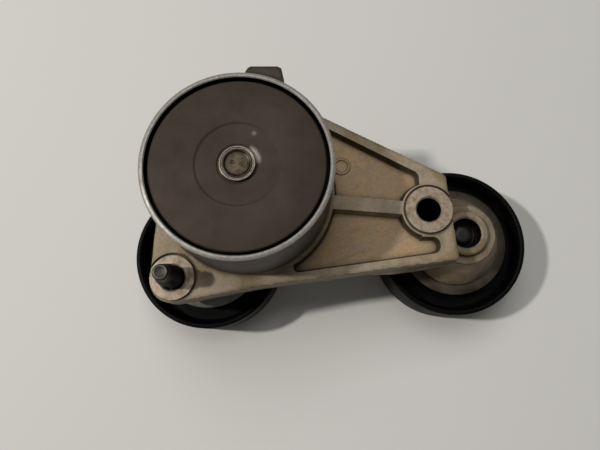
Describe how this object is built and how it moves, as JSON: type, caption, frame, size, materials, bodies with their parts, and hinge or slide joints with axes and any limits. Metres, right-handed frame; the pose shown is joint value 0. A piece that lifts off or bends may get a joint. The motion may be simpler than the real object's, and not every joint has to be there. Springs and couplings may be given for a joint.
{
  "type": "belt tensioner idler",
  "caption": "Accessory-belt tensioner: ribbed cast bracket with a round spring cup, a sprung swing arm carrying a smooth pulley, and a fixed smooth idler pulley.",
  "frame": {"origin": "centre of the whole object's base, on the plane that the two dust caps stand on", "axes": "+Z along the arm pivot and both pulley axes, from the pulleys towards the spring cup and the engine; +X from the spring cup towards the fixed idler pulley"},
  "size_m": [0.2032, 0.104, 0.1076],
  "materials": {
    "cast_aluminium": "die-cast, granular satin",
    "dark_plate": "dark phosphated steel, satin",
    "shaft_steel": "turned and formed",
    "spring_steel": "oil-hardened, dark",
    "bearing_plastic": "moulded natural nylon",
    "black_plastic": "moulded, fine texture",
    "pulley_nylon": "glass-filled nylon, belt face worn satin",
    "black_bolt_steel": "black phosphate",
    "bright_steel": "zinc plated",
    "bearing_steel": "ground and polished",
    "seal_rubber": "moulded nitrile",
    "shield_steel": "stamped, dull plating"
  },
  "bodies": {
    "bracket": {"bracket_casting": "cast_aluminium", "pivot_bushing": "bearing_plastic", "torsion_spring": "spring_steel", "friction_washer": "bearing_plastic", "damping_ring": "black_plastic", "idler_bearing_inner_race": "bearing_steel", "idler_bore_sleeve": "bright_steel", "idler_rear_shield": "shield_steel", "idler_front_shield": "shield_steel", "idler_pulley_bolt": "black_bolt_steel", "idler_dust_cap": "black_plastic"},
    "swing_arm": {"arm_casting": "cast_aluminium", "pivot_shaft": "shaft_steel", "thrust_plate": "dark_plate", "tensioner_bearing_inner_race": "bearing_steel", "tensioner_bore_sleeve": "bright_steel", "tensioner_rear_shield": "shield_steel", "tensioner_front_shield": "shield_steel", "tensioner_pulley_bolt": "black_bolt_steel", "tensioner_dust_cap": "black_plastic"},
    "tensioner_pulley": {"tensioner_pulley": "pulley_nylon", "tensioner_bearing_outer_race": "bearing_steel", "tensioner_bearing_front_seal": "seal_rubber", "tensioner_bearing_rear_seal": "seal_rubber"},
    "tensioner_ball_set": {"tensioner_bearing_cage": "bearing_plastic", "tensioner_bearing_ball_1": "bearing_steel", "tensioner_bearing_ball_2": "bearing_steel", "tensioner_bearing_ball_3": "bearing_steel", "tensioner_bearing_ball_4": "bearing_steel", "tensioner_bearing_ball_5": "bearing_steel", "tensioner_bearing_ball_6": "bearing_steel", "tensioner_bearing_ball_7": "bearing_steel", "tensioner_bearing_ball_8": "bearing_steel"},
    "idler_pulley": {"idler_pulley": "pulley_nylon", "idler_bearing_outer_race": "bearing_steel", "idler_bearing_front_seal": "seal_rubber", "idler_bearing_rear_seal": "seal_rubber"},
    "idler_ball_set": {"idler_bearing_cage": "bearing_plastic", "idler_bearing_ball_1": "bearing_steel", "idler_bearing_ball_2": "bearing_steel", "idler_bearing_ball_3": "bearing_steel", "idler_bearing_ball_4": "bearing_steel", "idler_bearing_ball_5": "bearing_steel", "idler_bearing_ball_6": "bearing_steel", "idler_bearing_ball_7": "bearing_steel", "idler_bearing_ball_8": "bearing_steel"},
    "bolt_washer": {"bolt_washer": "bright_steel"},
    "mounting_bolt": {"mounting_bolt": "black_bolt_steel"}
  },
  "joints": [
    {"name": "arm_pivot", "type": "hinge", "parent": "bracket", "child": "swing_arm", "pos_m": [-0.0405, 0.00965, 0.076], "axis": [0, 0, -1], "range_deg": [0, 65], "stiffness_Nm_per_rad": 8, "springref_deg": -22.92},
    {"name": "tensioner_pulley_spin", "type": "hinge", "parent": "swing_arm", "child": "tensioner_pulley", "pos_m": [-0.0636, -0.01395, 0.0192], "axis": [0, 0, 1], "continuous": true},
    {"name": "tensioner_cage_spin", "type": "hinge", "parent": "swing_arm", "child": "tensioner_ball_set", "pos_m": [-0.0636, -0.01395, 0.0192], "axis": [0, 0, 1], "continuous": true},
    {"name": "idler_pulley_spin", "type": "hinge", "parent": "bracket", "child": "idler_pulley", "pos_m": [0.0636, -0.00735, 0.0192], "axis": [0, 0, 1], "continuous": true},
    {"name": "idler_cage_spin", "type": "hinge", "parent": "bracket", "child": "idler_ball_set", "pos_m": [0.0636, -0.00735, 0.0192], "axis": [0, 0, 1], "continuous": true},
    {"name": "bolt_travel", "type": "slide", "parent": "bracket", "child": "bolt_washer", "axis": [0, 0, 1], "range_m": [0, 0.0036]},
    {"name": "bolt_turn", "type": "hinge", "parent": "bolt_washer", "child": "mounting_bolt", "pos_m": [-0.0732, -0.03015, 0.06], "axis": [0, 0, 1], "continuous": true}
  ],
  "couplings": [
    {"joint": "tensioner_cage_spin", "follows": "tensioner_pulley_spin", "ratio": 0.618},
    {"joint": "idler_cage_spin", "follows": "idler_pulley_spin", "ratio": 0.618}
  ]
}
